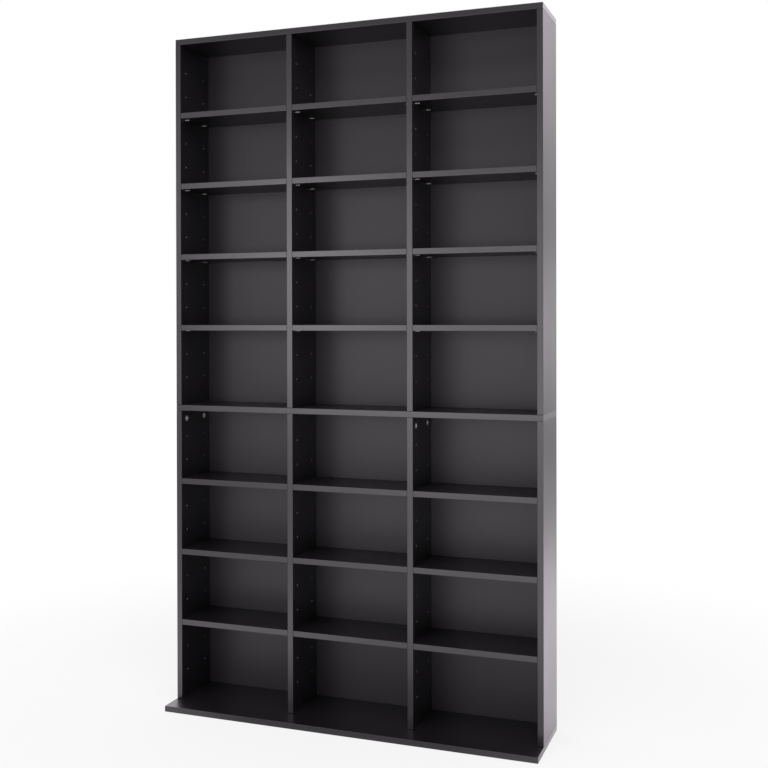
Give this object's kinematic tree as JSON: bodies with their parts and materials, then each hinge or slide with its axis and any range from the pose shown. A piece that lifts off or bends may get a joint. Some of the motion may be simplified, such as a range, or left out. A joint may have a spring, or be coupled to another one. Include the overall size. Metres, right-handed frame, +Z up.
{
  "type": "cd shelf",
  "caption": "Tall, shallow, free-standing open rack of black coated board for discs, in two stacked sections on a jutting base board, with shelves resting on pins.",
  "frame": {"origin": "middle of the base board's underside, the centre of the bounding box's bottom face", "axes": "+Z up, X across the width, the open front faces -Y and the back panels +Y"},
  "size_m": [1.014, 0.221, 1.809],
  "materials": {
    "black_melamine": "satin black melamine on chipboard, fine pore",
    "black_fibreboard": "thin fibreboard with a smooth black film",
    "cast_zinc": "bare cast zinc",
    "plated_steel": "plated, machined",
    "beech": "raw beech with fine ribs"
  },
  "bodies": {
    "carcass": {"base_board": "black_melamine", "mid_board": "black_melamine", "top_board": "black_melamine", "side_left_lower": "black_melamine", "side_left_upper": "black_melamine", "divider_left_lower": "black_melamine", "divider_left_upper": "black_melamine", "divider_right_lower": "black_melamine", "divider_right_upper": "black_melamine", "side_right_lower": "black_melamine", "side_right_upper": "black_melamine", "back_lower_left": "black_fibreboard", "back_lower_middle": "black_fibreboard", "back_lower_right": "black_fibreboard", "back_upper_left": "black_fibreboard", "back_upper_middle": "black_fibreboard", "back_upper_right": "black_fibreboard", "cam_bolt_side_left_front": "plated_steel", "cam_bolt_side_left_rear": "plated_steel", "dowel_side_left": "beech", "cam_bolt_divider_left_front": "plated_steel", "cam_bolt_divider_left_rear": "plated_steel", "dowel_divider_left": "beech", "cam_bolt_divider_right_front": "plated_steel", "cam_bolt_divider_right_rear": "plated_steel", "dowel_divider_right": "beech", "cam_bolt_side_right_front": "plated_steel", "cam_bolt_side_right_rear": "plated_steel", "dowel_side_right": "beech"},
    "shelf_lower_left_1": {"shelf_lower_left_1": "black_melamine"},
    "shelf_lower_left_2": {"shelf_lower_left_2": "black_melamine"},
    "shelf_lower_left_3": {"shelf_lower_left_3": "black_melamine"},
    "shelf_lower_middle_1": {"shelf_lower_middle_1": "black_melamine"},
    "shelf_lower_middle_2": {"shelf_lower_middle_2": "black_melamine"},
    "shelf_lower_middle_3": {"shelf_lower_middle_3": "black_melamine"},
    "shelf_lower_right_1": {"shelf_lower_right_1": "black_melamine"},
    "shelf_lower_right_2": {"shelf_lower_right_2": "black_melamine"},
    "shelf_lower_right_3": {"shelf_lower_right_3": "black_melamine"},
    "shelf_upper_left_1": {"shelf_upper_left_1": "black_melamine"},
    "shelf_upper_left_2": {"shelf_upper_left_2": "black_melamine"},
    "shelf_upper_left_3": {"shelf_upper_left_3": "black_melamine"},
    "shelf_upper_left_4": {"shelf_upper_left_4": "black_melamine"},
    "shelf_upper_middle_1": {"shelf_upper_middle_1": "black_melamine"},
    "shelf_upper_middle_2": {"shelf_upper_middle_2": "black_melamine"},
    "shelf_upper_middle_3": {"shelf_upper_middle_3": "black_melamine"},
    "shelf_upper_middle_4": {"shelf_upper_middle_4": "black_melamine"},
    "shelf_upper_right_1": {"shelf_upper_right_1": "black_melamine"},
    "shelf_upper_right_2": {"shelf_upper_right_2": "black_melamine"},
    "shelf_upper_right_3": {"shelf_upper_right_3": "black_melamine"},
    "shelf_upper_right_4": {"shelf_upper_right_4": "black_melamine"},
    "cam_lock_side_left_front": {"cam_lock_side_left_front": "cast_zinc"},
    "cam_lock_side_left_rear": {"cam_lock_side_left_rear": "cast_zinc"},
    "cam_lock_divider_left_front": {"cam_lock_divider_left_front": "cast_zinc"},
    "cam_lock_divider_left_rear": {"cam_lock_divider_left_rear": "cast_zinc"},
    "cam_lock_divider_right_front": {"cam_lock_divider_right_front": "cast_zinc"},
    "cam_lock_divider_right_rear": {"cam_lock_divider_right_rear": "cast_zinc"},
    "cam_lock_side_right_front": {"cam_lock_side_right_front": "cast_zinc"},
    "cam_lock_side_right_rear": {"cam_lock_side_right_rear": "cast_zinc"}
  },
  "joints": [
    {"name": "shelf_lower_left_1_slide", "type": "slide", "parent": "carcass", "child": "shelf_lower_left_1", "axis": [0, -1, 0], "range_m": [0, 0.028]},
    {"name": "shelf_lower_left_2_slide", "type": "slide", "parent": "carcass", "child": "shelf_lower_left_2", "axis": [0, -1, 0], "range_m": [0, 0.028]},
    {"name": "shelf_lower_left_3_slide", "type": "slide", "parent": "carcass", "child": "shelf_lower_left_3", "axis": [0, -1, 0], "range_m": [0, 0.028]},
    {"name": "shelf_lower_middle_1_slide", "type": "slide", "parent": "carcass", "child": "shelf_lower_middle_1", "axis": [0, -1, 0], "range_m": [0, 0.028]},
    {"name": "shelf_lower_middle_2_slide", "type": "slide", "parent": "carcass", "child": "shelf_lower_middle_2", "axis": [0, -1, 0], "range_m": [0, 0.028]},
    {"name": "shelf_lower_middle_3_slide", "type": "slide", "parent": "carcass", "child": "shelf_lower_middle_3", "axis": [0, -1, 0], "range_m": [0, 0.028]},
    {"name": "shelf_lower_right_1_slide", "type": "slide", "parent": "carcass", "child": "shelf_lower_right_1", "axis": [0, -1, 0], "range_m": [0, 0.028]},
    {"name": "shelf_lower_right_2_slide", "type": "slide", "parent": "carcass", "child": "shelf_lower_right_2", "axis": [0, -1, 0], "range_m": [0, 0.028]},
    {"name": "shelf_lower_right_3_slide", "type": "slide", "parent": "carcass", "child": "shelf_lower_right_3", "axis": [0, -1, 0], "range_m": [0, 0.028]},
    {"name": "shelf_upper_left_1_slide", "type": "slide", "parent": "carcass", "child": "shelf_upper_left_1", "axis": [0, -1, 0], "range_m": [0, 0.028]},
    {"name": "shelf_upper_left_2_slide", "type": "slide", "parent": "carcass", "child": "shelf_upper_left_2", "axis": [0, -1, 0], "range_m": [0, 0.028]},
    {"name": "shelf_upper_left_3_slide", "type": "slide", "parent": "carcass", "child": "shelf_upper_left_3", "axis": [0, -1, 0], "range_m": [0, 0.028]},
    {"name": "shelf_upper_left_4_slide", "type": "slide", "parent": "carcass", "child": "shelf_upper_left_4", "axis": [0, -1, 0], "range_m": [0, 0.028]},
    {"name": "shelf_upper_middle_1_slide", "type": "slide", "parent": "carcass", "child": "shelf_upper_middle_1", "axis": [0, -1, 0], "range_m": [0, 0.028]},
    {"name": "shelf_upper_middle_2_slide", "type": "slide", "parent": "carcass", "child": "shelf_upper_middle_2", "axis": [0, -1, 0], "range_m": [0, 0.028]},
    {"name": "shelf_upper_middle_3_slide", "type": "slide", "parent": "carcass", "child": "shelf_upper_middle_3", "axis": [0, -1, 0], "range_m": [0, 0.028]},
    {"name": "shelf_upper_middle_4_slide", "type": "slide", "parent": "carcass", "child": "shelf_upper_middle_4", "axis": [0, -1, 0], "range_m": [0, 0.028]},
    {"name": "shelf_upper_right_1_slide", "type": "slide", "parent": "carcass", "child": "shelf_upper_right_1", "axis": [0, -1, 0], "range_m": [0, 0.028]},
    {"name": "shelf_upper_right_2_slide", "type": "slide", "parent": "carcass", "child": "shelf_upper_right_2", "axis": [0, -1, 0], "range_m": [0, 0.028]},
    {"name": "shelf_upper_right_3_slide", "type": "slide", "parent": "carcass", "child": "shelf_upper_right_3", "axis": [0, -1, 0], "range_m": [0, 0.028]},
    {"name": "shelf_upper_right_4_slide", "type": "slide", "parent": "carcass", "child": "shelf_upper_right_4", "axis": [0, -1, 0], "range_m": [0, 0.028]},
    {"name": "cam_lock_side_left_front_turn", "type": "hinge", "parent": "carcass", "child": "cam_lock_side_left_front", "pos_m": [-0.4995, -0.0195, 0.777], "axis": [1, 0, 0], "range_deg": [0, 180]},
    {"name": "cam_lock_side_left_rear_turn", "type": "hinge", "parent": "carcass", "child": "cam_lock_side_left_rear", "pos_m": [-0.4995, 0.0725, 0.777], "axis": [1, 0, 0], "range_deg": [0, 180]},
    {"name": "cam_lock_divider_left_front_turn", "type": "hinge", "parent": "carcass", "child": "cam_lock_divider_left_front", "pos_m": [-0.1665, -0.0195, 0.777], "axis": [-1, 0, 0], "range_deg": [0, 180]},
    {"name": "cam_lock_divider_left_rear_turn", "type": "hinge", "parent": "carcass", "child": "cam_lock_divider_left_rear", "pos_m": [-0.1665, 0.0725, 0.777], "axis": [-1, 0, 0], "range_deg": [0, 180]},
    {"name": "cam_lock_divider_right_front_turn", "type": "hinge", "parent": "carcass", "child": "cam_lock_divider_right_front", "pos_m": [0.1665, -0.0195, 0.777], "axis": [1, 0, 0], "range_deg": [0, 180]},
    {"name": "cam_lock_divider_right_rear_turn", "type": "hinge", "parent": "carcass", "child": "cam_lock_divider_right_rear", "pos_m": [0.1665, 0.0725, 0.777], "axis": [1, 0, 0], "range_deg": [0, 180]},
    {"name": "cam_lock_side_right_front_turn", "type": "hinge", "parent": "carcass", "child": "cam_lock_side_right_front", "pos_m": [0.4995, -0.0195, 0.777], "axis": [-1, 0, 0], "range_deg": [0, 180]},
    {"name": "cam_lock_side_right_rear_turn", "type": "hinge", "parent": "carcass", "child": "cam_lock_side_right_rear", "pos_m": [0.4995, 0.0725, 0.777], "axis": [-1, 0, 0], "range_deg": [0, 180]}
  ]
}
